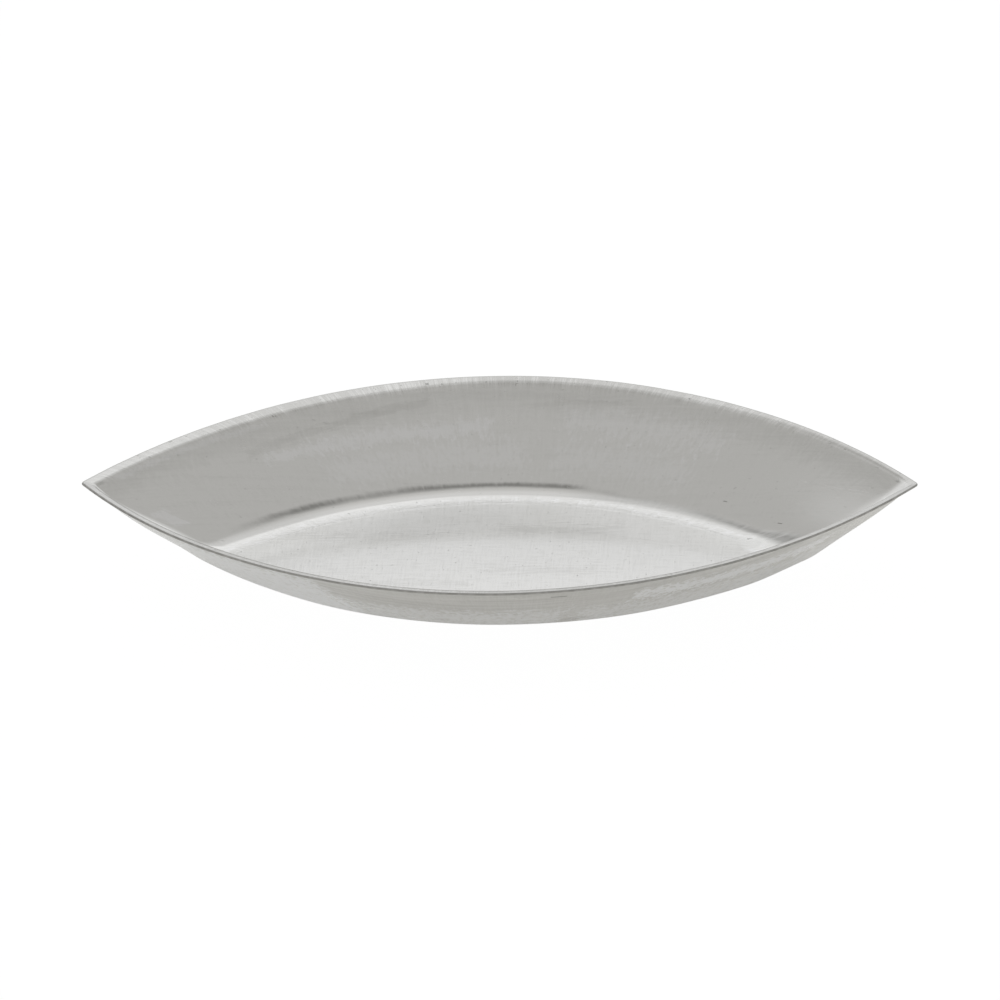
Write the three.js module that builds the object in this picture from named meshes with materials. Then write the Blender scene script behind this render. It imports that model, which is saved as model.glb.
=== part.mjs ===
// Boat-shaped tartlet mould, pressed from one sheet of tinned steel.
//
// Millimetres, +Z up. The origin is the centre of the flat underside, +X runs along the length.
// Seen from above the mould is a lens: two equal circular arcs that meet in a small radius at each
// end. Every level of the shell is that same lens moved inward by an inset, so the walls keep one
// draft all the way round and meet in a crease at each end.

import * as THREE from "three";

// Overall size, over the lip
const LENGTH = 110;
const WIDTH = 48;
const HEIGHT = 12.9;

// Sheet and its section, from the rim down to the floor
const SHEET = 0.3;
const LIP_WIDTH = 1.1;
const LIP_RISE_DEG = 18; // how far the lip climbs above level as it runs outward
const BEND_RADIUS = 1.8; // under the lip, where it turns down into the wall
const WALL_DRAFT_DEG = 35; // how far the wall leans outward from upright
const FOOT_RADIUS = 3.2; // inside, where the wall turns into the floor
const TIP_RADIUS = 0.25; // inside the crease at each end

// How finely the curves are divided
const SIDE_STEPS = 36;
const TIP_STEPS = 6;
const BEND_STEPS = 5;
const FOOT_STEPS = 6;

const LIP_SLOPE = THREE.MathUtils.degToRad(LIP_RISE_DEG);
const WALL_SLOPE = THREE.MathUtils.degToRad(90 - WALL_DRAFT_DEG);
const FLOOR_SLOPE = 0;
const OUTER_TIP_RADIUS = TIP_RADIUS + SHEET;

// A section point is {inset, z, slope}: how far it is inside the rim, its height, and the slope at
// which the sheet falls away inward there. These two unit vectors belong to a slope.
const downhill = (slope) => ({ inset: Math.cos(slope), z: -Math.sin(slope) });
const below = (slope) => ({ inset: -Math.sin(slope), z: -Math.cos(slope) });

function shifted(point, direction, distance) {
  return { inset: point.inset + direction.inset * distance, z: point.z + direction.z * distance };
}

// The arc that rounds a corner of the section, as points from the first slope to the second. It
// bulges up where the sheet gets steeper, and sinks in where it gets shallower.
function roundedCorner(corner, slopeIn, slopeOut, radius, steps) {
  const tangent = radius * Math.tan(Math.abs(slopeOut - slopeIn) / 2);
  const start = shifted(corner, downhill(slopeIn), -tangent);
  const side = slopeOut > slopeIn ? 1 : -1;
  const centre = shifted(start, below(slopeIn), side * radius);
  const points = [];
  for (let step = 0; step <= steps; step += 1) {
    const slope = THREE.MathUtils.lerp(slopeIn, slopeOut, step / steps);
    points.push({ ...shifted(centre, below(slope), -side * radius), slope });
  }
  return points;
}

// The inside face of the sheet, from the rim's top edge down to the edge of the flat floor.
function insideSection() {
  const rim = { inset: SHEET * Math.sin(LIP_SLOPE), z: HEIGHT, slope: LIP_SLOPE };
  const bend = shifted(rim, downhill(LIP_SLOPE), LIP_WIDTH / Math.cos(LIP_SLOPE));
  const foot = shifted(bend, downhill(WALL_SLOPE), (bend.z - SHEET) / Math.sin(WALL_SLOPE));
  return [
    rim,
    ...roundedCorner(bend, LIP_SLOPE, WALL_SLOPE, BEND_RADIUS + SHEET, BEND_STEPS),
    ...roundedCorner(foot, WALL_SLOPE, FLOOR_SLOPE, FOOT_RADIUS, FOOT_STEPS),
  ];
}

// The side arc of the outermost edge: its radius, and how far its centre lies beyond the middle
// line of the mould, so that length and width come out right with rounded ends.
function sideArc() {
  const halfLength = LENGTH / 2 - OUTER_TIP_RADIUS;
  const halfWidth = WIDTH / 2;
  const squares = halfLength ** 2 + halfWidth ** 2 - OUTER_TIP_RADIUS ** 2;
  const radius = squares / (2 * (halfWidth - OUTER_TIP_RADIUS));
  return { radius, centreOffset: radius - halfWidth };
}

// One level of the shell: the lens at this inset, anticlockwise from above, starting at +X.
function lensRing({ inset, z }, tipRadius) {
  const { radius, centreOffset } = sideArc();
  const sideRadius = radius - inset;
  const tipCentre = Math.sqrt((sideRadius - tipRadius) ** 2 - centreOffset ** 2);
  const joint = Math.atan2(centreOffset, tipCentre);
  const half = [];
  for (let step = 0; step < TIP_STEPS / 2; step += 1) {
    const angle = joint * (step / (TIP_STEPS / 2));
    half.push([tipCentre + tipRadius * Math.cos(angle), tipRadius * Math.sin(angle)]);
  }
  for (let step = 0; step <= SIDE_STEPS; step += 1) {
    const angle = THREE.MathUtils.lerp(joint, Math.PI - joint, step / SIDE_STEPS);
    half.push([sideRadius * Math.cos(angle), sideRadius * Math.sin(angle) - centreOffset]);
  }
  for (let step = TIP_STEPS / 2 - 1; step > 0; step -= 1) {
    const angle = joint * (step / (TIP_STEPS / 2));
    half.push([-tipCentre - tipRadius * Math.cos(angle), tipRadius * Math.sin(angle)]);
  }
  const otherHalf = half.map(([x, y]) => [-x, -y]);
  return [...half, ...otherHalf].map(([x, y]) => [x, y, z]);
}

// A closed skin through all the rings. The first and the last ring are each filled flat, in strips
// across the lens between points that mirror each other.
function skinThrough(rings) {
  const count = rings[0].length;
  const at = (ring, point) => ring * count + (point % count);
  const triangles = [];
  for (let ring = 0; ring + 1 < rings.length; ring += 1) {
    for (let point = 0; point < count; point += 1) {
      const corners = [at(ring, point), at(ring, point + 1), at(ring + 1, point + 1), at(ring + 1, point)];
      triangles.push(corners[0], corners[1], corners[2]);
      triangles.push(corners[0], corners[2], corners[3]);
    }
  }
  const last = rings.length - 1;
  for (let point = 0; point < count / 2; point += 1) {
    const mirror = count - point;
    const strip = [...new Set([point, point + 1, mirror - 1, mirror % count])];
    for (let corner = 1; corner + 1 < strip.length; corner += 1) {
      const [a, b, c] = [strip[0], strip[corner], strip[corner + 1]];
      triangles.push(at(0, a), at(0, c), at(0, b));
      triangles.push(at(last, a), at(last, b), at(last, c));
    }
  }
  const geometry = new THREE.BufferGeometry();
  geometry.setAttribute("position", new THREE.Float32BufferAttribute(rings.flat(2), 3));
  geometry.setIndex(triangles);
  geometry.computeVertexNormals();
  return geometry;
}

// The shell runs from the underside of the floor up the outside, over the cut edge of the lip and
// down the inside to the floor again.
function pressedShell() {
  const inside = insideSection();
  const outside = inside.map((point) => shifted(point, below(point.slope), SHEET));
  const rings = [
    ...outside.reverse().map((point) => lensRing(point, OUTER_TIP_RADIUS)),
    ...inside.map((point) => lensRing(point, TIP_RADIUS)),
  ];
  const tinplate = new THREE.MeshStandardMaterial({ color: 0xbfbfba, roughness: 0.38, metalness: 1 });
  const shell = new THREE.Mesh(skinThrough(rings), tinplate);
  shell.name = "pressed_shell";
  return shell;
}

const mould = new THREE.Group();
mould.add(pressedShell());

export default mould;
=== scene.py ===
"""Boat-shaped tartlet mould in rolled tinplate, on a pale studio floor."""

import math
from types import SimpleNamespace

import bpy
import numpy as np
from mathutils import Matrix, Vector


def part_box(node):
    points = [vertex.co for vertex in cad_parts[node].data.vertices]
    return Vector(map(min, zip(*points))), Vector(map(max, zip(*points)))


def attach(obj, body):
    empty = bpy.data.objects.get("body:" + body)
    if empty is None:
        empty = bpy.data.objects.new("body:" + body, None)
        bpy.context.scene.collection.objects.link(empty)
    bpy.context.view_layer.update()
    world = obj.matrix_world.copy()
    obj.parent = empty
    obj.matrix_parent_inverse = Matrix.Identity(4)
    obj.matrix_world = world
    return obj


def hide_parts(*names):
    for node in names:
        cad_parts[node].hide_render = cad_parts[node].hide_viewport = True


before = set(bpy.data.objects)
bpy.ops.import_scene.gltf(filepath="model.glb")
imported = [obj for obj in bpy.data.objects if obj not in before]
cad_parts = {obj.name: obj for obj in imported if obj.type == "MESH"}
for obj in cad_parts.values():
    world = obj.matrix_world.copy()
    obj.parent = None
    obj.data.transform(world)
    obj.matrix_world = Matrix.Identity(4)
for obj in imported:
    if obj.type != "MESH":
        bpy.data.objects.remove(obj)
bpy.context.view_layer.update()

MM = 0.001

# The pressing, in millimetres. The outside sizes come from the frame.
low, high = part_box("pressed_shell")
LENGTH, WIDTH, HEIGHT = (high - low) / MM
SHEET = 0.3
LIP_WIDTH = 1.1
LIP_SLOPE = math.radians(16.5)
BEND_RADIUS = 1.1
WALL_SLOPE = math.radians(90 - 35)
FOOT_RADIUS = 3.2
TIP_RADIUS = 0.25
KEEL_START = 0.47  # how far along from the middle the walls start to belly
KEEL_FOOT_TIP = 2.4  # the crease opens to this radius at the floor
KEEL_FOOT = {-1: (3.9, 0.3), 1: (6.5, 0.86)}  # the foot opens to this radius, and from where
KEEL_BOWS = {-1: (0.45, 0.37), 1: (-0.06, 0.14)}  # belly of each end: in one wave, in two waves
RIM_ARCH = 0.13  # how far the rim springs up in the middle
RIM_DROOP = {-1: 0.21, 1: -0.08}  # and drops at each end
LIP_WIDER = 0.34  # on the far side, how much wider the lip gets left of the middle
LIP_WIDER_TIP = 0.14  # and loses again at the left point
LIP_NARROWER = 0.35  # how much narrower it gets right of the middle
LIP_PINCH = 0.26  # and narrower still near the right point
LIP_TAKES_UP = 1.3  # the sheet takes those changes up within this distance of the rim
CUT_CORNER = 0.07  # rounding left on the sheared edge
TRIM_WANDER = 0.01  # how far the trim line strays up and down
PUNCH_RAGGED = 0.09  # how far the line round the foot strays in and out
OIL_CANNING = 0.035  # how far the walls bulge and sink
FLOOR_CROWN = 0.45  # how far the floor springs up in the middle
FLOOR_UNEVEN = 0.02  # and how far it strays from that
OTHER_FACE = 40.0  # the grain of the underside is taken this far off, so the faces differ

# How finely the sheet is divided
SIDE_STEPS = 230
TIP_STEPS = 10
LIP_ROWS = 6
BEND_ROWS = 7
WALL_ROWS = 26
FOOT_ROWS = 14
CORNER_ROWS = 3
FLOOR_ROWS = 44


# ---------------------------------------------------------------- the section of the sheet


def along(start, slope, distance):
    """A point further down a slope. A section point is [inset from the rim, height]."""
    return start + distance * np.array([math.cos(slope), -math.sin(slope)])


def below(slope):
    """The unit vector out through the underside where the sheet falls inward at this slope."""
    return np.stack([-np.sin(slope), -np.cos(slope)], axis=-1)


def rounded_corner(corner, slope_in, slope_out, radius, rows):
    """Points and slopes of the arc that rounds a corner of the section."""
    tangent = radius * math.tan(abs(slope_out - slope_in) / 2)
    start = along(corner, slope_in, -tangent)
    side = 1 if slope_out > slope_in else -1
    centre = start + side * radius * below(slope_in)
    slopes = np.linspace(slope_in, slope_out, rows + 1)
    return centre - side * radius * below(slopes), slopes


def straight(start, end, slope, rows):
    """Points and slopes strictly between two section points."""
    steps = np.linspace(0, 1, rows + 1)[1:-1, None]
    return start + (end - start) * steps, np.full(rows - 1, slope)


def inside_section(foot_radius=FOOT_RADIUS):
    """The upper face from the rim to the edge of the floor: points, slopes and distances down."""
    rim = np.array([SHEET * math.sin(LIP_SLOPE), HEIGHT])
    bend = along(rim, LIP_SLOPE, LIP_WIDTH / math.cos(LIP_SLOPE))
    foot = along(bend, WALL_SLOPE, (bend[1] - SHEET) / math.sin(WALL_SLOPE))
    bend_arc = rounded_corner(bend, LIP_SLOPE, WALL_SLOPE, BEND_RADIUS + SHEET, BEND_ROWS)
    foot_arc = rounded_corner(foot, WALL_SLOPE, 0.0, foot_radius, FOOT_ROWS)
    pieces = [
        (rim[None], np.array([LIP_SLOPE])),
        straight(rim, bend_arc[0][0], LIP_SLOPE, LIP_ROWS),
        bend_arc,
        straight(bend_arc[0][-1], foot_arc[0][0], WALL_SLOPE, WALL_ROWS),
        foot_arc,
    ]
    points = np.concatenate([p for p, _ in pieces])
    slopes = np.concatenate([s for _, s in pieces])
    lengths = np.linalg.norm(np.diff(points, axis=0), axis=1)
    return points, slopes, np.concatenate([[0], np.cumsum(lengths)])


def cut_edge(rim):
    """The sheared edge from the upper face round to the underside, as points and slopes."""
    outward = -np.array([math.cos(LIP_SLOPE), -math.sin(LIP_SLOPE)])
    under = below(np.array(LIP_SLOPE))
    turns = np.linspace(0, math.pi / 2, CORNER_ROWS + 1)
    upper = [
        rim + CUT_CORNER * ((math.sin(t) - 1) * outward + (1 - math.cos(t)) * under)
        for t in turns[1:]
    ]
    lower = [
        rim + (SHEET - CUT_CORNER * (1 - math.sin(t))) * under
        - CUT_CORNER * (1 - math.cos(t)) * outward
        for t in turns
    ]
    return np.array(upper + lower)


# ---------------------------------------------------------------- the plan of the mould

OUTER_TIP = TIP_RADIUS + SHEET
ARC_RADIUS = (
    ((LENGTH / 2 - OUTER_TIP) ** 2 + (WIDTH / 2) ** 2 - OUTER_TIP**2)
    / (2 * (WIDTH / 2 - OUTER_TIP))
)
ARC_OFFSET = ARC_RADIUS - WIDTH / 2


def lens(inset, tip_radius):
    """Plan points of the lens at an inset, anticlockwise from +X, and the way out at each.

    Both arguments are arrays with the ring's points along their last axis.
    """
    side = ARC_RADIUS - inset
    tip_centre = np.sqrt((side - tip_radius) ** 2 - ARC_OFFSET**2)
    joint = np.arctan2(ARC_OFFSET, tip_centre)
    half_tip = TIP_STEPS // 2
    tip_share = np.arange(half_tip) / half_tip
    side_share = np.arange(SIDE_STEPS + 1) / SIDE_STEPS
    shares = np.concatenate([tip_share, side_share, tip_share[:0:-1]])
    first = np.arange(len(shares)) < half_tip
    last = np.arange(len(shares)) > half_tip + SIDE_STEPS
    half = len(shares)
    points, ways = [], []
    for turn in (1, -1):
        part = slice(0, half) if turn == 1 else slice(half, 2 * half)
        s, c, r, j = side[..., part], tip_centre[..., part], tip_radius[..., part], joint[..., part]
        angle = np.where(first, j * shares, j + (math.pi - 2 * j) * shares)
        angle = np.where(last, math.pi - j * shares, angle)
        on_tip = first | last
        middle = np.where(first, c, np.where(last, -c, 0))
        reach = np.where(on_tip, r, s)
        drop = np.where(on_tip, 0, ARC_OFFSET) + 0 * s
        way = np.stack([np.cos(angle), np.sin(angle)], axis=-1)
        point = way * reach[..., None] + np.stack([middle, -drop], axis=-1)
        points.append(turn * point)
        ways.append(turn * way)
    return np.concatenate(points, axis=-2), np.concatenate(ways, axis=-2)


RING = 2 * (SIDE_STEPS + TIP_STEPS)


# ---------------------------------------------------------------- small irregularities

rng = np.random.default_rng(11)


def ripple(x, y, shortest, longest, waves):
    """A smooth uneven field over the plan, between about -1 and 1, from crossing plane waves."""
    total = np.zeros(np.broadcast(x, y).shape)
    for _ in range(waves):
        heading = rng.uniform(0, 2 * math.pi)
        wavelength = rng.uniform(shortest, longest)
        phase = rng.uniform(0, 2 * math.pi)
        distance = x * math.cos(heading) + y * math.sin(heading)
        total += np.sin(distance * 2 * math.pi / wavelength + phase)
    return total / math.sqrt(waves)


def smooth(low_edge, high_edge, value):
    """0 below the low edge, 1 above the high edge, eased between."""
    share = np.clip((value - low_edge) / (high_edge - low_edge), 0, 1)
    return share * share * (3 - 2 * share)


# ---------------------------------------------------------------- the shell


def shell_rows(foot_radius=FOOT_RADIUS):
    """Every row of the skin, from the inside floor edge over the rim to the underside's."""
    points, slopes, down = inside_section(foot_radius)
    edge = cut_edge(points[0])
    under = points + SHEET * below(slopes)
    inset = np.concatenate([points[::-1, 0], edge[:, 0], under[1:, 0]])
    height = np.concatenate([points[::-1, 1], edge[:, 1], under[1:, 1]])
    slope = np.concatenate([slopes[::-1], np.full(len(edge), LIP_SLOPE), slopes[1:]])
    depth = np.concatenate([down[::-1], np.zeros(len(edge)), down[1:]])
    # The sharp corners of the rim give way to the rounded ones.
    inside_rows = len(points)
    rim_row = inside_rows - 1
    inset[rim_row], height[rim_row] = along(points[0], LIP_SLOPE, CUT_CORNER)
    through = np.linspace(0, 1, len(edge))
    share = np.concatenate([np.zeros(inside_rows), through, np.ones(len(under) - 1)])
    return inset, height, slope, depth, share, inside_rows, len(edge)


def opened_section(rim_x, out_along):
    """Insets and heights of the rows all round, with the foot opening out towards the keels."""
    inset, height, *_ = shell_rows()
    ring_inset = np.repeat(inset[:, None], RING, axis=1)
    level = np.repeat(height[:, None], RING, axis=1)
    for end, (radius, start) in KEEL_FOOT.items():
        keel_inset, keel_height, *_ = shell_rows(radius)
        opening = np.where(end * rim_x > 0, smooth(start, 1.0, out_along), 0)
        ring_inset += (keel_inset - inset)[:, None] * opening
        level += (keel_height - height)[:, None] * opening
    return ring_inset, level


def lip_narrowing(rim_x, rim_y, depth):
    """How far the sheet under the lip moves out on the far side, where the lip's width changes."""
    far_side = smooth(-2, 2, rim_y)
    widening = LIP_WIDER * smooth(2, 20, -rim_x) - LIP_WIDER_TIP * smooth(42, 54, -rim_x)
    narrowing = (LIP_NARROWER * smooth(22, 42, rim_x) - widening) * far_side
    pinch = LIP_PINCH * smooth(34, 52, rim_x) * far_side
    lost_in_wall = 1 - smooth(LIP_TAKES_UP, depth.max() - 1, depth)
    eased = smooth(0.0, LIP_TAKES_UP, depth) * lost_in_wall
    even = np.clip(depth / LIP_TAKES_UP, 0, 1) * lost_in_wall
    return eased[:, None] * narrowing + even[:, None] * pinch


def shell_skin(rim_x, rim_y, slope, depth, share):
    """The points of every row of the skin, with the plan of the floor's edge and the way out there."""
    out_along = np.abs(rim_x) / (LENGTH / 2)
    ring_inset, level = opened_section(rim_x, out_along)

    # The walls belly towards the keels, and the rim arches a little along its length.
    wall_share = np.clip(1 - level / HEIGHT, 0, 1)
    arch = RIM_ARCH * (1 - smooth(0.1, 0.9, out_along))
    for end in (-1, 1):
        this_end = end * rim_x > 0
        once, twice = KEEL_BOWS[end]
        belly = once * np.sin(math.pi * wall_share) + twice * np.sin(2 * math.pi * wall_share)
        ring_inset -= np.where(this_end, smooth(KEEL_START, 1.0, out_along), 0) * belly
        arch -= np.where(this_end, RIM_DROOP[end] * smooth(0.4, 1.0, out_along), 0)
    level += arch * (1 - wall_share)
    ring_inset -= lip_narrowing(rim_x, rim_y, depth)

    # The trim line wanders, and the edge of the punch left a slightly ragged line round the foot.
    wander = TRIM_WANDER * ripple(rim_x, rim_y, 3, 12, 8)
    ragged = PUNCH_RAGGED * ripple(rim_x, rim_y, 1.0, 3.6, 9) * (1 - smooth(0.5, 0.8, out_along))
    level += (1 - smooth(0.6, 2.6, depth))[:, None] * wander
    ring_inset += smooth(depth.max() - 1.2, depth.max(), depth)[:, None] * ragged

    tip_radius = (TIP_RADIUS + SHEET * share)[:, None] + (KEEL_FOOT_TIP - TIP_RADIUS) * wall_share
    plan, way = lens(ring_inset, tip_radius)

    # Oil-canning of the walls, the same on both faces of the sheet.
    field_x, field_y = rim_x[None], rim_y[None] + depth[:, None] * np.sign(-rim_y)[None]
    push = OIL_CANNING * ripple(field_x, field_y, 16, 42, 7) * smooth(0.5, 5, depth)[:, None]
    push *= 1 - smooth(depth.max() - 3, depth.max(), depth)[:, None]
    tilt = slope[:, None]
    inward = -way * np.sin(tilt)[..., None] * push[..., None]
    skin = np.concatenate([plan + inward, (level + np.cos(tilt) * push)[..., None]], axis=-1)
    return skin, plan[0], way[0]


def wall_faces(rows, inside_rows, edge_rows):
    """Faces between the rows of the skin, and which finish each has."""
    faces, finishes = [], []
    for row in range(rows - 1):
        finish = 0 if row < inside_rows - 1 else 1 if row < inside_rows + edge_rows - 1 else 2
        here, there = row * RING, (row + 1) * RING
        for point in range(RING):
            following = (point + 1) % RING
            faces.append((here + following, here + point, there + point, there + following))
            finishes.append(finish)
    return faces, finishes


def floor_fill(face, edge, edge_inset, edge_depth):
    """Points that fill one face of the floor within its edge, and their blank and drawn places."""
    columns = RING // 2
    share_across = np.arange(1, FLOOR_ROWS) / FLOOR_ROWS
    upper = edge[1:columns]
    lower = edge[: RING - columns : -1]
    grid = upper[:, None] + (lower - upper)[:, None] * share_across[None, :, None]
    x, y = grid[..., 0], grid[..., 1]
    side = ARC_RADIUS - edge_inset
    room = np.maximum(np.sqrt(side**2 - x**2) - ARC_OFFSET, 1e-3)
    across = np.clip(np.abs(y) / room, 0, 1)
    lengthways = np.clip(np.abs(x) / math.sqrt(side**2 - ARC_OFFSET**2), 0, 1)
    crown = FLOOR_CROWN * (1 - across**2) ** 2 * (1 - lengthways**2) ** 2
    uneven = FLOOR_UNEVEN * ripple(x, y, 12, 34, 7) * (1 - across**2) ** 2 * (1 - lengthways**2)
    grid = grid + np.stack([0 * x, 0 * x, crown + uneven], axis=-1)
    blank = np.stack([x, y, np.full(x.shape, OTHER_FACE * face)], axis=-1)
    into = edge_depth + np.maximum(room - np.abs(y), 0)
    beside = np.copysign(WIDTH / 2 - edge_inset + WIDTH / 4, y)
    return grid, blank, np.stack([x, beside, into], axis=-1)


def floor_faces(face, ring, first):
    """Faces across one face of the floor, from the numbers of its edge's and its own first points."""
    columns = RING // 2

    def at(column, step):
        if step == 0:
            return ring + column
        if step == FLOOR_ROWS:
            return ring + (RING - column) % RING
        return first + (column - 1) * (FLOOR_ROWS - 1) + step - 1

    faces = []
    for column in range(columns):
        for step in range(FLOOR_ROWS):
            if column == 0:
                corners = [ring, at(1, step), at(1, step + 1)]
            elif column == columns - 1:
                corners = [at(column, step), ring + columns, at(column, step + 1)]
            else:
                corners = [
                    at(column, step), at(column + 1, step),
                    at(column + 1, step + 1), at(column, step + 1),
                ]
            faces.append(tuple(corners if face == 0 else corners[::-1]))
    return faces


def build_shell():
    """The pressed sheet as one closed skin, with its cut edge, crowned floor and unevenness."""
    inset, _, slope, depth, share, inside_rows, edge_rows = shell_rows()
    rows = len(inset)
    rim, _ = lens(np.zeros(RING), np.full(RING, OUTER_TIP))
    rim_x, rim_y = rim[:, 0], rim[:, 1]
    skin, floor_edge, floor_way = shell_skin(rim_x, rim_y, slope, depth, share)

    # Where each point lies in the flat blank, and along and down the drawn wall.
    spread = depth.max() - depth
    blank = floor_edge[None] + floor_way[None] * spread[:, None, None]
    side = np.where(np.arange(rows) < inside_rows + edge_rows // 2, 0.0, OTHER_FACE)
    side = np.broadcast_to(side[:, None, None], (rows, RING, 1))
    blank = np.concatenate([blank, side], axis=-1)
    drawn = np.stack(np.broadcast_arrays(rim_x, rim_y, depth[:, None]), axis=-1)

    places, blanks, draws = [skin], [blank], [drawn]
    faces, finishes = wall_faces(rows, inside_rows, edge_rows)
    first = rows * RING
    waves = rng.bit_generator.state
    for face, row in ((0, 0), (1, rows - 1)):
        rng.bit_generator.state = waves  # both faces of the floor bulge alike
        filled = floor_fill(face, skin[row], inset[0], depth.max())
        for kept, part in zip((places, blanks, draws), filled):
            kept.append(part)
        across = floor_faces(face, row * RING, first)
        faces += across
        finishes += [2 * face] * len(across)
        first += filled[0][..., 0].size

    def joined(parts):
        return np.concatenate([part.reshape(-1, 3) for part in parts])

    mesh = bpy.data.meshes.new("tinplate_shell")
    mesh.from_pydata((joined(places) * MM).tolist(), [], faces)
    mesh.polygons.foreach_set("material_index", np.array(finishes, np.int32))
    mesh.polygons.foreach_set("use_smooth", np.ones(len(faces), bool))
    for name, values in (("blank", joined(blanks)), ("drawn", joined(draws))):
        layer = mesh.attributes.new(name, "FLOAT_VECTOR", "POINT")
        layer.data.foreach_set("vector", values.astype(np.float32).ravel())
    mesh.update()
    shell = bpy.data.objects.new("tinplate_shell", mesh)
    bpy.context.scene.collection.objects.link(shell)
    return shell


# ---------------------------------------------------------------- wiring of node trees


class Wiring:
    """Places nodes in one tree and joins them. Inputs may be plain values or other sockets."""

    def __init__(self, tree):
        self.tree = tree

    def place(self, kind, inputs=(), **settings):
        node = self.tree.nodes.new(kind)
        for name, value in settings.items():
            setattr(node, name, value)
        for name, value in dict(inputs).items():
            self.feed(node.inputs[name], value)
        return node

    def feed(self, socket, value):
        if isinstance(value, bpy.types.NodeSocket):
            self.tree.links.new(value, socket)
        else:
            socket.default_value = value

    def maths(self, operation, first, second=0.0, clamp=False):
        node = self.place("ShaderNodeMath", operation=operation, use_clamp=clamp)
        for socket, value in zip(node.inputs, (first, second)):
            self.feed(socket, value)
        return node.outputs[0]

    def ranged(self, value, start, end, low_out=0.0, high_out=1.0, smoothly=True):
        node = self.place(
            "ShaderNodeMapRange",
            {"Value": value, "From Min": start, "From Max": end, "To Min": low_out, "To Max": high_out},
            interpolation_type="SMOOTHSTEP" if smoothly else "LINEAR",
        )
        return node.outputs["Result"]

    def noise(self, vector, scale, detail=2.0, roughness=0.5):
        node = self.place(
            "ShaderNodeTexNoise",
            {"Vector": vector, "Scale": scale, "Detail": detail, "Roughness": roughness},
        )
        return node.outputs["Fac"]

    def stretched(self, vector, x, y, z):
        node = self.place("ShaderNodeVectorMath", operation="MULTIPLY")
        self.feed(node.inputs[0], vector)
        node.inputs[1].default_value = (x, y, z)
        return node.outputs[0]

    def total(self, first, *others):
        for other in others:
            first = self.maths("ADD", first, other)
        return first

    def product(self, first, *others):
        for other in others:
            first = self.maths("MULTIPLY", first, other)
        return first

    def blend(self, share, first, second):
        node = self.place("ShaderNodeMix", data_type="RGBA")
        self.feed(node.inputs["Factor"], share)
        self.feed(node.inputs["A"], first)
        self.feed(node.inputs["B"], second)
        return node.outputs["Result"]


def colour(red, green, blue):
    return (red, green, blue, 1.0)


def make_group(name, inputs, outputs):
    """An empty shader node group with float or vector inputs, and its wiring."""
    group = bpy.data.node_groups.new(name, "ShaderNodeTree")
    for label, kind in inputs:
        group.interface.new_socket(label, in_out="INPUT", socket_type=kind)
    for label, kind in outputs:
        group.interface.new_socket(label, in_out="OUTPUT", socket_type=kind)
    wiring = Wiring(group)
    entry = wiring.place("NodeGroupInput")
    leave = wiring.place("NodeGroupOutput")
    return wiring, entry.outputs, leave.inputs


FLOAT, VECTOR = "NodeSocketFloat", "NodeSocketVector"


def rolled_grain():
    """Fine crossed lines left in the sheet by rolling: a height, slow streaks and short dashes."""
    w, given, out = make_group(
        "rolled_grain", [("Sheet", VECTOR)], [("Height", FLOAT), ("Streaks", FLOAT), ("Dashes", FLOAT)]
    )
    lengthways = w.noise(w.stretched(given["Sheet"], 0.3, 3.4, 1.0), 1.0, 3.0, 0.6)
    crossways = w.noise(w.stretched(given["Sheet"], 3.4, 0.3, 1.0), 1.0, 3.0, 0.6)
    w.feed(out["Height"], w.maths("ADD", lengthways, crossways))
    w.feed(out["Streaks"], w.noise(w.stretched(given["Sheet"], 0.05, 0.9, 1.0), 1.0, 3.0, 0.55))
    dashes = w.noise(w.stretched(given["Sheet"], 3.1, 0.62, 1.0), 1.0, 2.0, 0.5)
    w.feed(out["Dashes"], w.ranged(dashes, 0.66, 0.76))
    return w.tree


def draw_lines():
    """Lines rubbed down the wall as the sheet was drawn over the punch, as heights."""
    w, given, out = make_group("draw_lines", [("Drawn", VECTOR)], [("Fine", FLOAT), ("Coarse", FLOAT)])
    w.feed(out["Fine"], w.noise(w.stretched(given["Drawn"], 4.4, 4.4, 0.2), 1.0, 3.0, 0.65))
    w.feed(out["Coarse"], w.noise(w.stretched(given["Drawn"], 1.2, 1.2, 0.35), 1.0, 2.0, 0.6))
    return w.tree


def specks():
    """Small dark pits in the tin, of uneven shape, as a mask."""
    w, given, out = make_group("specks", [("Sheet", VECTOR), ("Rarity", FLOAT)], [("Mask", FLOAT)])
    blots = w.noise(given["Sheet"], 1.9, 2.0, 0.6)
    start = w.maths("ADD", given["Rarity"], 0.04)
    w.feed(out["Mask"], w.ranged(blots, given["Rarity"], start))
    return w.tree


def scuffs():
    """Fine scratches from handling, mostly one way, as a mask."""
    w, given, out = make_group("scuffs", [("Sheet", VECTOR), ("Angle", FLOAT)], [("Mask", FLOAT)])
    turn = w.place("ShaderNodeVectorRotate", {"Vector": given["Sheet"], "Angle": given["Angle"]})
    lines = w.noise(w.stretched(turn.outputs[0], 0.3, 5.5, 1.0), 1.0, 1.0, 0.4)
    thin = w.ranged(lines, 0.66, 0.74)
    where = w.ranged(w.noise(given["Sheet"], 0.16, 2.0), 0.5, 0.62)
    w.feed(out["Mask"], w.maths("MULTIPLY", thin, where))
    return w.tree


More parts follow.
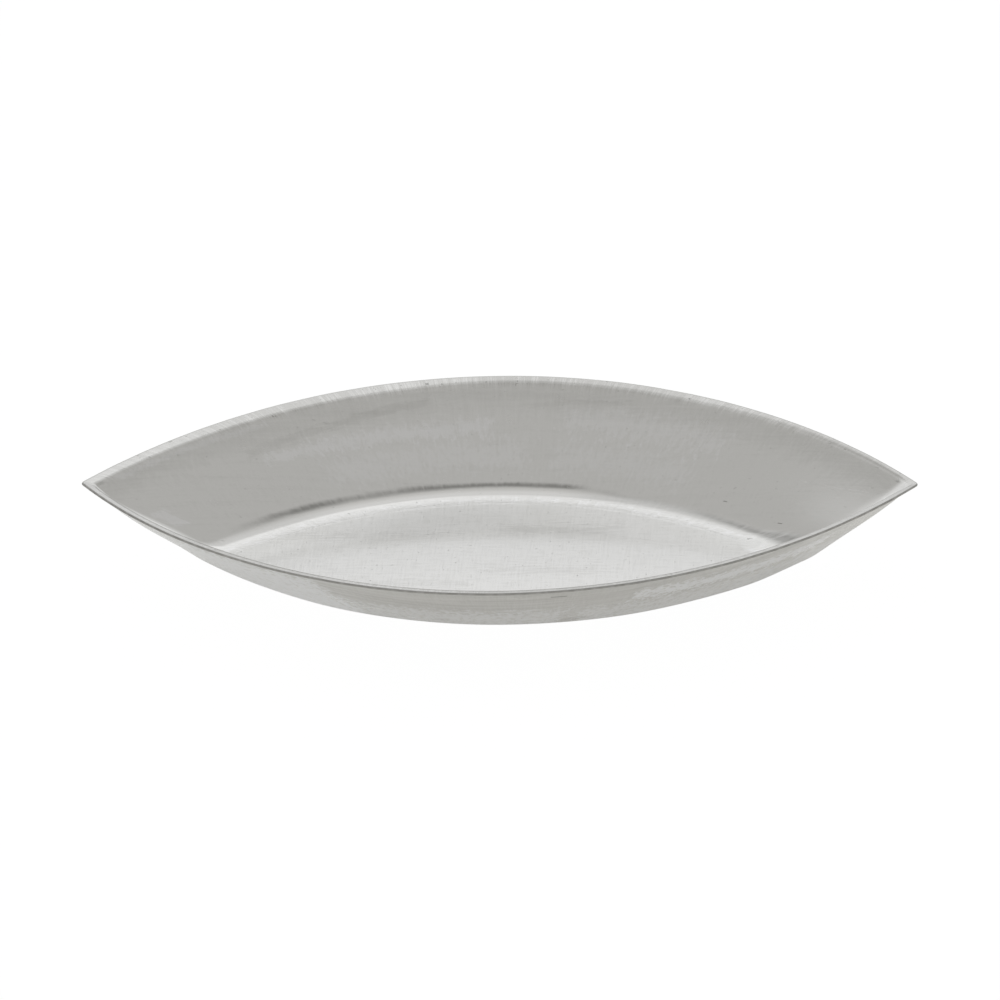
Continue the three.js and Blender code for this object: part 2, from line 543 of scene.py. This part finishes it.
def torn_patch():
    """A patch with torn edges, from its start to its end one way and top to bottom the other."""
    w, given, out = make_group(
        "torn_patch",
        [
            ("Along", FLOAT), ("Down", FLOAT), ("Grain", VECTOR), ("Start", FLOAT), ("End", FLOAT),
            ("Top", FLOAT), ("Bottom", FLOAT), ("Edge Along", FLOAT), ("Edge Down", FLOAT),
            ("Tear", FLOAT),
        ],
        [("Mask", FLOAT)],
    )
    inside = [
        w.maths("DIVIDE", w.maths("SUBTRACT", given["Along"], given["Start"]), given["Edge Along"]),
        w.maths("DIVIDE", w.maths("SUBTRACT", given["End"], given["Along"]), given["Edge Along"]),
        w.maths("DIVIDE", w.maths("SUBTRACT", given["Down"], given["Top"]), given["Edge Down"]),
        w.maths("DIVIDE", w.maths("SUBTRACT", given["Bottom"], given["Down"]), given["Edge Down"]),
    ]
    nearest = inside[0]
    for side in inside[1:]:
        nearest = w.maths("MINIMUM", nearest, side)
    nearest = w.maths("MINIMUM", nearest, 1.0)
    torn = w.maths("SUBTRACT", w.noise(given["Grain"], 1.0, 4.0, 0.7), 0.5)
    w.feed(out["Mask"], w.ranged(w.total(nearest, w.product(torn, given["Tear"])), 0.1, 0.9))
    return w.tree


GROUPS = {make.__name__: make() for make in (rolled_grain, draw_lines, specks, scuffs, torn_patch)}


def effect(w, name, **inputs):
    node = w.place("ShaderNodeGroup", node_tree=GROUPS[name])
    for label, value in inputs.items():
        w.feed(node.inputs[label.replace("_", " ")], value)
    return node.outputs


def patches(w, along, down, grain, places):
    """Several torn patches together. Each is (start, end, top, bottom, edge, tear, strength)."""
    sum_so_far = 0.0
    for start, end, top, bottom, edge, tear, strength in places:
        mask = effect(
            w, "torn_patch", Along=along, Down=down, Grain=grain, Start=start, End=end, Top=top,
            Bottom=bottom, Edge_Along=edge, Edge_Down=min(edge, (bottom - top) / 2), Tear=tear,
        )["Mask"]
        sum_so_far = w.total(w.product(mask, strength), sum_so_far)
    return sum_so_far


def new_material(name):
    material = bpy.data.materials.new(name)
    material.use_nodes = True
    material.node_tree.nodes.clear()
    w = Wiring(material.node_tree)
    shader = w.place("ShaderNodeBsdfPrincipled", {"Metallic": 1.0})
    out = w.place("ShaderNodeOutputMaterial")
    w.feed(out.inputs["Surface"], shader.outputs["BSDF"])
    return material, w, shader


def sheet_place(w, name):
    """Where each bit of metal lies in the flat blank, or along, across and down the drawn wall."""
    return w.place("ShaderNodeAttribute", attribute_name=name).outputs["Vector"]


def sheet_fields(w):
    """What the looks of the sheet are worked out from: places on it, its grain and its lines."""
    blank, drawn = sheet_place(w, "blank"), sheet_place(w, "drawn")
    place = w.place("ShaderNodeSeparateXYZ", {"Vector": drawn}).outputs
    grain = effect(w, "rolled_grain", Sheet=blank)
    lines = effect(w, "draw_lines", Drawn=drawn)
    return SimpleNamespace(
        blank=blank, drawn=drawn, along=place["X"], across=place["Y"], depth=place["Z"],
        grain=grain["Height"], streaks=grain["Streaks"], dashes=grain["Dashes"],
        lines=lines["Fine"],
        weave=w.maths("SUBTRACT", grain["Height"], 1.0),
        slow=w.maths("SUBTRACT", grain["Streaks"], 0.5),
        fine=w.maths("SUBTRACT", lines["Fine"], 0.5),
        coarse=w.maths("SUBTRACT", lines["Coarse"], 0.5),
    )


def bumped(w, height, strength, distance_mm, normal=None):
    inputs = {"Height": height, "Strength": strength, "Distance": distance_mm * MM}
    node = w.place("ShaderNodeBump", inputs)
    if normal is not None:
        w.feed(node.inputs["Normal"], normal)
    return node.outputs["Normal"]


TIN = colour(0.86, 0.86, 0.853)
# Colour of lighter tin, also used for a painted reflection low in the left point.
TIN_LIGHT_AND_PAINTED_REFLECTION = colour(0.925, 0.927, 0.935)
TIN_DULL = colour(0.67, 0.668, 0.655)
TIN_BLOOM = colour(0.965, 0.977, 1.0)
# Colour of the painted highlight under the dark line in the foot.
TIN_PAINTED_HIGHLIGHT = colour(0.98, 0.977, 0.968)
# Colour of real stains and nicks, and of the painted dark reflection in the foot.
STAIN_AND_PAINTED_REFLECTION = colour(0.43, 0.43, 0.42)
PIT = colour(0.34, 0.34, 0.33)
CUT_DARK = colour(0.36, 0.355, 0.345)
CUT_PALE = colour(0.46, 0.455, 0.445)

# How far down the sheet the parts of the inside end, measured from the rim.
LIP_END = 2.1
WALL_END, FOOT_END = [float(inside_section()[2][row]) for row in (-FOOT_ROWS - 1, -1)]

# Single marks, as (start, end, top, bottom, edge, tear, strength). They run from start to end along
# the mould, and from top to bottom down the sheet from the rim, or across the floor.
# Lighter patches of the tin on the far wall; the one low in the left point is a painted reflection.
LIGHTER_TIN_AND_PAINTED_REFLECTION = [
    (-38, -27, 5.7, 8.2, 2.5, 3.5, 0.9),
    (-31, -2, 5.4, 8.6, 2.0, 3.5, 0.95),
    (-32, 4, 7.8, 13.8, 4.0, 4.0, 0.6),
    # This patch is a painted reflection.
    (-54.9, -52.6, 8.3, 12.0, 0.8, 2.5, 1.1),
    (-53, -34, 1.3, 2.7, 0.6, 4.0, 1.0),
    (7, 34, 2.5, 8.5, 3.0, 4.5, 0.65),
    (6, 32, 8.0, 14.0, 3.0, 4.0, 0.5),
]
WISPS = [
    (-28, -11, 1.0, 2.9, 2.0, 2.5, 0.35),
    (-40, -26, 1.0, 3.2, 2.5, 3.0, 0.3),
    (2, 18, 3.8, 5.0, 2.5, 3.0, 0.25),
]
THIN_TIN = [
    (-2, 16, 4.6, 7.8, 4.0, 5.0, 0.42),
    (-30, -6, 3.4, 6.0, 4.0, 5.0, 0.25),
    (-18, -2, -6.8, -4.6, 3.0, 5.0, 0.25),
    (-3, 14, -4.2, -1.6, 3.0, 5.0, 0.25),
]
TICKS = [
    (-55.2, -53.9, 1.0, 2.0, 0.5, 1.0, 0.35),
    (53.2, 53.9, 1.5, 2.1, 0.3, 1.5, 0.6),
    (38.7, 39.5, 12.8, 13.05, 0.12, 0.6, 0.8),
    (48.7, 49.4, 13.3, 13.6, 0.12, 0.6, 0.8),
    (-11.9, -11.3, 0.5, 0.9, 0.12, 0.6, 1.0),
]
OUTSIDE_BLOOMS = [
    (-60, -23, 1.6, 20, 4.0, 3.0, 1.2),
    (-28, 14, 8.5, 20, 3.0, 5.0, 0.6),
    (22, 50, 5.0, 9.5, 1.8, 5.0, 1.2),
    (14, 60, 9.0, 20, 3.0, 5.0, 0.55),
]
OUTSIDE_NICKS = [(9.4, 11.9, 3.7, 4.3, 0.25, 1.0, 1.2)]


def wall_dullness(w, s, far):
    """A dull band under the lip with wisps below it, and faint lines down and along the wall."""
    band = w.ranged(w.total(s.depth, w.product(s.coarse, 2.5)), 2.6, 6.4, 0.34, 0.0)
    slanting = w.total(s.depth, w.product(s.along, 0.09))
    wisps = patches(w, s.along, slanting, w.stretched(s.drawn, 0.4, 0.4, 2.0), WISPS)
    return w.total(
        band, w.product(wisps, far), w.product(s.fine, 0.4), w.product(s.weave, 0.45),
        w.product(s.slow, 0.5),
    )


def lip_dullness(w, s, rubbing):
    """Lines rubbed across the lip, which is duller at the cut and along some stretches."""
    tone = w.total(
        w.ranged(s.along, -46, -34, 0.62, 0.9), w.ranged(s.along, -26, -16, 0.0, -0.32),
        w.ranged(s.along, -8, 0, 0.0, 0.34), w.ranged(s.along, 18, 28, 0.0, -0.26),
    )
    return w.total(
        w.product(s.fine, rubbing, 2.2), w.product(s.coarse, rubbing, 1.8),
        w.ranged(s.depth, 0.04, 0.26, 1.2, tone), w.ranged(s.depth, 0.8, 1.6, 0.0, -0.5),
    )


def floor_dullness(w, s):
    """The linen look of the rolled sheet, with short dashes and a few streaks of thin tin."""
    flat = w.place("ShaderNodeSeparateXYZ", {"Vector": s.blank}).outputs
    thin_tin = patches(w, flat["X"], flat["Y"], w.stretched(s.blank, 0.22, 3.6, 1.0), THIN_TIN)
    left_end = w.ranged(flat["X"], -34, -14, 0.24, 0.08)
    return w.total(s.weave, w.product(s.dashes, 0.55), thin_tin, left_end)


def painted_foot_reflection(w, s):
    """A painted dark reflection in the turn of the foot, that fades right of the middle and comes back.
    """
    waver = w.total(w.product(s.coarse, 0.2), w.product(s.slow, 0.4))
    centre = w.total(
        WALL_END + 0.38,
        w.product(w.ranged(s.along, -10, -20), -0.06), w.product(w.ranged(s.along, 14, 25), 0.68),
    )
    half_width = w.total(
        w.ranged(s.along, -18, -9, 0.56, 0.42), w.ranged(s.along, 12, 20, 0.0, 0.1),
        w.ranged(s.along, 44, 53, 0.0, 0.35),
    )
    off_line = w.maths("SUBTRACT", w.total(s.depth, waver), centre)
    off_line = w.maths("MAXIMUM", w.product(off_line, 1.3), w.product(off_line, -1.0))
    line = w.ranged(w.maths("DIVIDE", off_line, half_width), 0.0, 1.3, 1.0, 0.0)

    left = w.product(w.ranged(s.along, -52, -38), w.ranged(s.along, 9.5, 17.0, 1.0, 0.0))
    fainter = w.product(w.ranged(s.along, -36, -30), w.ranged(s.along, -26, -12, 0.42, 0.0))
    left = w.product(left, w.maths("SUBTRACT", 1.0, fainter))
    right = w.total(
        w.product(w.ranged(s.along, 12, 20), 0.16), w.product(w.ranged(s.along, 30, 46), 0.5),
        w.product(w.ranged(s.along, 46, 53), 0.45),
    )
    # The painted dark reflection is made streaky along the drawn lines.
    line_strength = w.total(1.0, w.product(s.fine, 0.9), w.product(s.coarse, 0.9))
    return w.product(line, w.maths("MAXIMUM", left, right), line_strength)


def painted_foot_highlight(w, s, far):
    """Under the dark line, a painted highlight that makes the far side of the foot brighter."""
    return w.product(
        w.ranged(s.depth, WALL_END + 0.6, WALL_END + 0.95),
        w.ranged(s.depth, WALL_END + 1.3, WALL_END + 2.5, 1.0, 0.0),
        w.ranged(s.along, -42, -28, 0.4, 0.95), w.ranged(s.along, 8, 21, 1.0, 0.0), far,
    )


def punch_mark(w, s, flakes):
    """A faint dull band in the foot that ends in a torn edge, where the punch rubbed the tin."""
    torn = w.total(s.depth, w.product(w.maths("SUBTRACT", flakes, 0.5), 0.9), w.product(s.fine, 0.25))
    rubbed_off = w.ranged(torn, WALL_END + 2.08, WALL_END + 2.2, 1.0, 0.0)
    faint = w.ranged(w.maths("ABSOLUTE", s.along), 28, 50, 0.15, 0.1)
    return w.product(w.ranged(s.depth, WALL_END + 1.1, WALL_END + 1.6), rubbed_off, faint)


def tin_inside():
    material, w, shader = new_material("tin_inside")
    s = sheet_fields(w)
    marks = effect(w, "scuffs", Sheet=s.blank, Angle=0.5)["Mask"]
    far = w.ranged(s.across, -1.0, 1.0)
    on_lip = w.ranged(s.depth, 0.9, LIP_END, 1.0, 0.0)
    on_floor = w.ranged(s.depth, WALL_END, FOOT_END)
    on_wall = w.maths("SUBTRACT", 1.0, w.maths("MAXIMUM", on_lip, on_floor), clamp=True)
    rubbing = w.ranged(w.maths("ABSOLUTE", s.along), 34, 48, 1.0, 0.55)

    # The edge of the punch bruised the tin into small flakes round the floor.
    flakes = w.noise(w.stretched(s.drawn, 0.5, 0.5, 2.4), 1.0, 4.0, 0.7)
    in_foot = w.product(
        w.ranged(s.depth, FOOT_END - 1.3, FOOT_END - 0.7),
        w.ranged(s.depth, FOOT_END + 0.1, FOOT_END + 0.7, 1.0, 0.0),
    )

    # Lighter tin on the far wall, one patch of it a painted reflection, and light flakes in the foot.
    lighter_tin_and_painted_reflection = patches(w, s.along, s.depth, w.stretched(s.drawn, 1.5, 1.5, 0.9), LIGHTER_TIN_AND_PAINTED_REFLECTION)
    light = w.total(
        w.product(lighter_tin_and_painted_reflection, on_wall, far), w.product(in_foot, w.ranged(flakes, 0.5, 0.6), 0.8)
    )
    dull = w.total(
        w.product(on_wall, wall_dullness(w, s, far)), w.product(on_lip, lip_dullness(w, s, rubbing)),
        w.product(on_floor, floor_dullness(w, s)), punch_mark(w, s, flakes),
    )
    ticks = patches(w, s.along, s.depth, w.stretched(s.drawn, 3.0, 3.0, 3.0), TICKS)
    # The dark line in the foot is a painted reflection; the ticks are real marks.
    marks_and_painted_reflection = w.maths("MULTIPLY", w.maths("ADD", painted_foot_reflection(w, s), ticks), far, clamp=True)
    pits = effect(w, "specks", Sheet=s.blank, Rarity=0.69)["Mask"]
    pits = w.product(pits, w.ranged(s.depth, WALL_END, FOOT_END, 0.35, 1.0))
    lip_pits = w.product(effect(w, "specks", Sheet=s.drawn, Rarity=0.67)["Mask"], on_lip)

    # Lighter tin, with one painted reflection low in the left point.
    base = w.blend(w.maths("MINIMUM", light, 1.0), TIN, TIN_LIGHT_AND_PAINTED_REFLECTION)
    base = w.blend(w.maths("MAXIMUM", dull, 0.0, clamp=True), base, TIN_DULL)
    # Painted highlight in the turn of the foot, under the dark line.
    base = w.blend(painted_foot_highlight(w, s, far), base, TIN_PAINTED_HIGHLIGHT)
    base = w.blend(marks_and_painted_reflection, base, STAIN_AND_PAINTED_REFLECTION)
    base = w.blend(w.product(w.maths("MAXIMUM", pits, lip_pits), 0.7), base, PIT)
    w.feed(shader.inputs["Base Color"], base)

    rough = w.total(0.13, w.product(s.streaks, 0.07), w.product(marks, 0.12), w.product(on_lip, 0.06))
    w.feed(shader.inputs["Roughness"], rough)

    line_strength = w.total(w.product(on_lip, rubbing), w.product(on_wall, 0.08))
    normal = bumped(w, w.product(s.grain, w.total(0.3, w.product(on_floor, 0.7))), 0.3, 0.004)
    normal = bumped(w, w.product(s.lines, line_strength), 0.7, 0.025, normal)
    normal = bumped(w, w.product(flakes, in_foot), 0.8, 0.05, normal)
    normal = bumped(w, w.total(marks, pits), 0.4, -0.006, normal)
    w.feed(shader.inputs["Normal"], normal)
    return material


def tin_outside():
    material, w, shader = new_material("tin_outside")
    s = sheet_fields(w)
    pits = effect(w, "specks", Sheet=s.blank, Rarity=0.745)["Mask"]
    marks = effect(w, "scuffs", Sheet=s.blank, Angle=-0.9)["Mask"]
    near = w.ranged(s.across, 1.0, -1.0)
    mottle = w.stretched(s.drawn, 1.2, 1.2, 1.8)
    blotch = w.ranged(w.noise(mottle, 1.0, 3.0, 0.65), 0.36, 0.6, 0.55, 1.15)
    bloom = w.product(patches(w, s.along, s.depth, mottle, OUTSIDE_BLOOMS), blotch)
    nicks = patches(w, s.along, s.depth, w.stretched(s.drawn, 3.0, 3.0, 3.0), OUTSIDE_NICKS)
    hoops = w.noise(w.stretched(s.drawn, 0.05, 0.05, 2.6), 1.0, 3.0, 0.6)
    hoops = w.maths("SUBTRACT", hoops, 0.5)
    dull = w.total(
        0.58, w.product(s.fine, 0.8), w.product(s.slow, 1.6), w.product(s.weave, 0.7),
        w.product(hoops, 1.2), w.product(marks, 0.4),
    )
    base = w.blend(w.maths("MAXIMUM", dull, 0.0, clamp=True), TIN, TIN_DULL)
    base = w.blend(w.maths("MULTIPLY", bloom, near, clamp=True), base, TIN_BLOOM)
    base = w.blend(w.maths("MULTIPLY", nicks, near, clamp=True), base, STAIN_AND_PAINTED_REFLECTION)
    base = w.blend(w.product(pits, 0.7), base, PIT)
    w.feed(shader.inputs["Base Color"], base)
    rough = w.total(0.24, w.product(marks, 0.12), w.product(s.streaks, 0.1))
    w.feed(shader.inputs["Roughness"], rough)

    normal = bumped(w, s.grain, 0.3, 0.004)
    normal = bumped(w, s.lines, 0.4, 0.006, normal)
    normal = bumped(w, marks, 0.4, -0.006, normal)
    w.feed(shader.inputs["Normal"], normal)
    return material


def bare_edge():
    material, w, shader = new_material("bare_edge")
    lines = effect(w, "draw_lines", Drawn=sheet_place(w, "drawn"))
    tone = w.ranged(lines["Coarse"], 0.35, 0.7)
    w.feed(shader.inputs["Base Color"], w.blend(tone, CUT_DARK, CUT_PALE))
    w.feed(shader.inputs["Roughness"], 0.36)
    w.feed(shader.inputs["Normal"], bumped(w, lines["Fine"], 0.3, 0.008))
    return material


# ---------------------------------------------------------------- studio


FRONT_LIGHT = colour(0.476, 0.470, 0.455)
TOP_LIGHT = colour(0.63, 0.627, 0.617)
BACK_LIGHT = colour(0.83, 0.827, 0.82)
STRIP_LIGHT = colour(0.89, 0.89, 0.885)
LOW_LIGHT = colour(0.795, 0.795, 0.792)
LAMP_LIGHT = colour(0.93, 0.93, 0.925)
FLOOR_HALF = 3.0  # metres from the middle of the studio floor to its sides
FLOOR_GAP = 0.02  # millimetres between it and the underside


def studio_world():
    """An even tent, dimmer on the camera's side, brighter overhead and brightest high up behind."""
    world = bpy.data.worlds.new("studio")
    bpy.context.scene.world = world
    world.use_nodes = True
    world.node_tree.nodes.clear()
    w = Wiring(world.node_tree)
    direction = w.place("ShaderNodeTexCoord").outputs["Generated"]
    xyz = w.place("ShaderNodeSeparateXYZ", {"Vector": direction}).outputs
    away = w.total(
        w.product(xyz["Y"], math.cos(CAMERA_AZIMUTH)), w.product(xyz["X"], -math.sin(CAMERA_AZIMUTH))
    )
    # The angle in degrees from the horizon on the camera's side, over the top, to the one behind.
    over = w.maths("ARCTAN2", xyz["Z"], w.product(away, -1.0))
    over = w.maths("MULTIPLY", over, 180 / math.pi)
    high = w.ranged(xyz["Z"], 0.35, 0.6)
    turned_away = w.maths("MAXIMUM", w.ranged(away, 0.1, 0.3), high)
    tone = w.blend(w.product(w.ranged(over, 60, 88), high), FRONT_LIGHT, TOP_LIGHT)
    for light, start, end in (
        (BACK_LIGHT, 95, 106), (STRIP_LIGHT, 111, 122), (LOW_LIGHT, 130, 142),
    ):
        tone = w.blend(w.product(w.ranged(over, start, end), turned_away), tone, light)
    lamp = w.product(w.ranged(xyz["X"], -0.12, 0.08), w.ranged(xyz["Z"], 0.8, 0.88))
    tone = w.blend(w.product(lamp, w.ranged(over, 95, 105)), tone, LAMP_LIGHT)
    shown = w.place("ShaderNodeLightPath").outputs["Is Camera Ray"]
    light = w.place("ShaderNodeBackground", {"Color": w.blend(shown, tone, colour(1, 1, 1))})
    out = w.place("ShaderNodeOutputWorld")
    w.feed(out.inputs["Surface"], light.outputs["Background"])


def studio_floor():
    """A pale floor that shows only a faint shadow, and looks a little dimmer in reflections."""
    half = FLOOR_HALF
    mesh = bpy.data.meshes.new("studio_floor")
    corners = [(-half, -half, 0), (half, -half, 0), (half, half, 0), (-half, half, 0)]
    mesh.from_pydata(corners, [], [(0, 1, 2, 3)])
    floor = bpy.data.objects.new("studio_floor", mesh)
    floor.location.z = -FLOOR_GAP * MM
    bpy.context.scene.collection.objects.link(floor)
    material = bpy.data.materials.new("studio_floor")
    material.use_nodes = True
    material.node_tree.nodes.clear()
    w = Wiring(material.node_tree)
    matt = w.place("ShaderNodeBsdfDiffuse", {"Color": colour(0.8, 0.795, 0.775)}).outputs[0]
    lift = w.place("ShaderNodeEmission", {"Color": colour(1.0, 0.99, 0.96), "Strength": 0.2}).outputs[0]
    pale = w.place("ShaderNodeBsdfDiffuse", {"Color": colour(0.04, 0.04, 0.04)}).outputs[0]
    glow = w.place("ShaderNodeEmission", {"Strength": 0.98}).outputs[0]
    reflected = w.place("ShaderNodeAddShader")
    w.feed(reflected.inputs[0], matt)
    w.feed(reflected.inputs[1], lift)
    seen = w.place("ShaderNodeAddShader")
    w.feed(seen.inputs[0], pale)
    w.feed(seen.inputs[1], glow)
    shown = w.place("ShaderNodeLightPath").outputs["Is Camera Ray"]
    mix = w.place("ShaderNodeMixShader")
    w.feed(mix.inputs[0], shown)
    w.feed(mix.inputs[1], reflected.outputs[0])
    w.feed(mix.inputs[2], seen.outputs[0])
    out = w.place("ShaderNodeOutputMaterial")
    w.feed(out.inputs["Surface"], mix.outputs[0])
    mesh.materials.append(material)


CAMERA_AZIMUTH = math.radians(7.688)
CAMERA_ELEVATION = math.radians(36.361)
CAMERA_ROLL = math.radians(-4.371)
CAMERA_DISTANCE = 12.5 * LENGTH / 2 * MM
CAMERA_SCALE = 0.41998  # share of the view's width that half the mould's length covers
CAMERA_SHIFT = (0.003765, -0.017645)


def studio_camera():
    azimuth, elevation = CAMERA_AZIMUTH, CAMERA_ELEVATION
    back = Vector((
        math.sin(azimuth) * math.cos(elevation),
        -math.cos(azimuth) * math.cos(elevation),
        math.sin(elevation),
    ))
    right = Vector((math.cos(azimuth), math.sin(azimuth), 0))
    up = back.cross(right)
    rolled_right = right * math.cos(CAMERA_ROLL) + up * math.sin(CAMERA_ROLL)
    rolled_up = back.cross(rolled_right)
    data = bpy.data.cameras.new("studio_camera")
    data.sensor_width = 36.0
    data.lens = data.sensor_width * CAMERA_SCALE * CAMERA_DISTANCE / (LENGTH / 2 * MM)
    data.shift_x, data.shift_y = CAMERA_SHIFT
    data.clip_end = 10
    camera = bpy.data.objects.new("studio_camera", data)
    bpy.context.scene.collection.objects.link(camera)
    turn = Matrix((rolled_right, rolled_up, back)).transposed().to_4x4()
    target = Vector((0, 0, HEIGHT * MM))
    camera.matrix_world = Matrix.Translation(target + back * CAMERA_DISTANCE) @ turn
    bpy.context.scene.camera = camera


# ---------------------------------------------------------------- the scene

studio_camera()
studio_world()
studio_floor()

shell = build_shell()
for finish in (tin_inside, bare_edge, tin_outside):
    shell.data.materials.append(finish())
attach(shell, "root")
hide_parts("pressed_shell")

bpy.context.scene.view_settings.view_transform = "Standard"
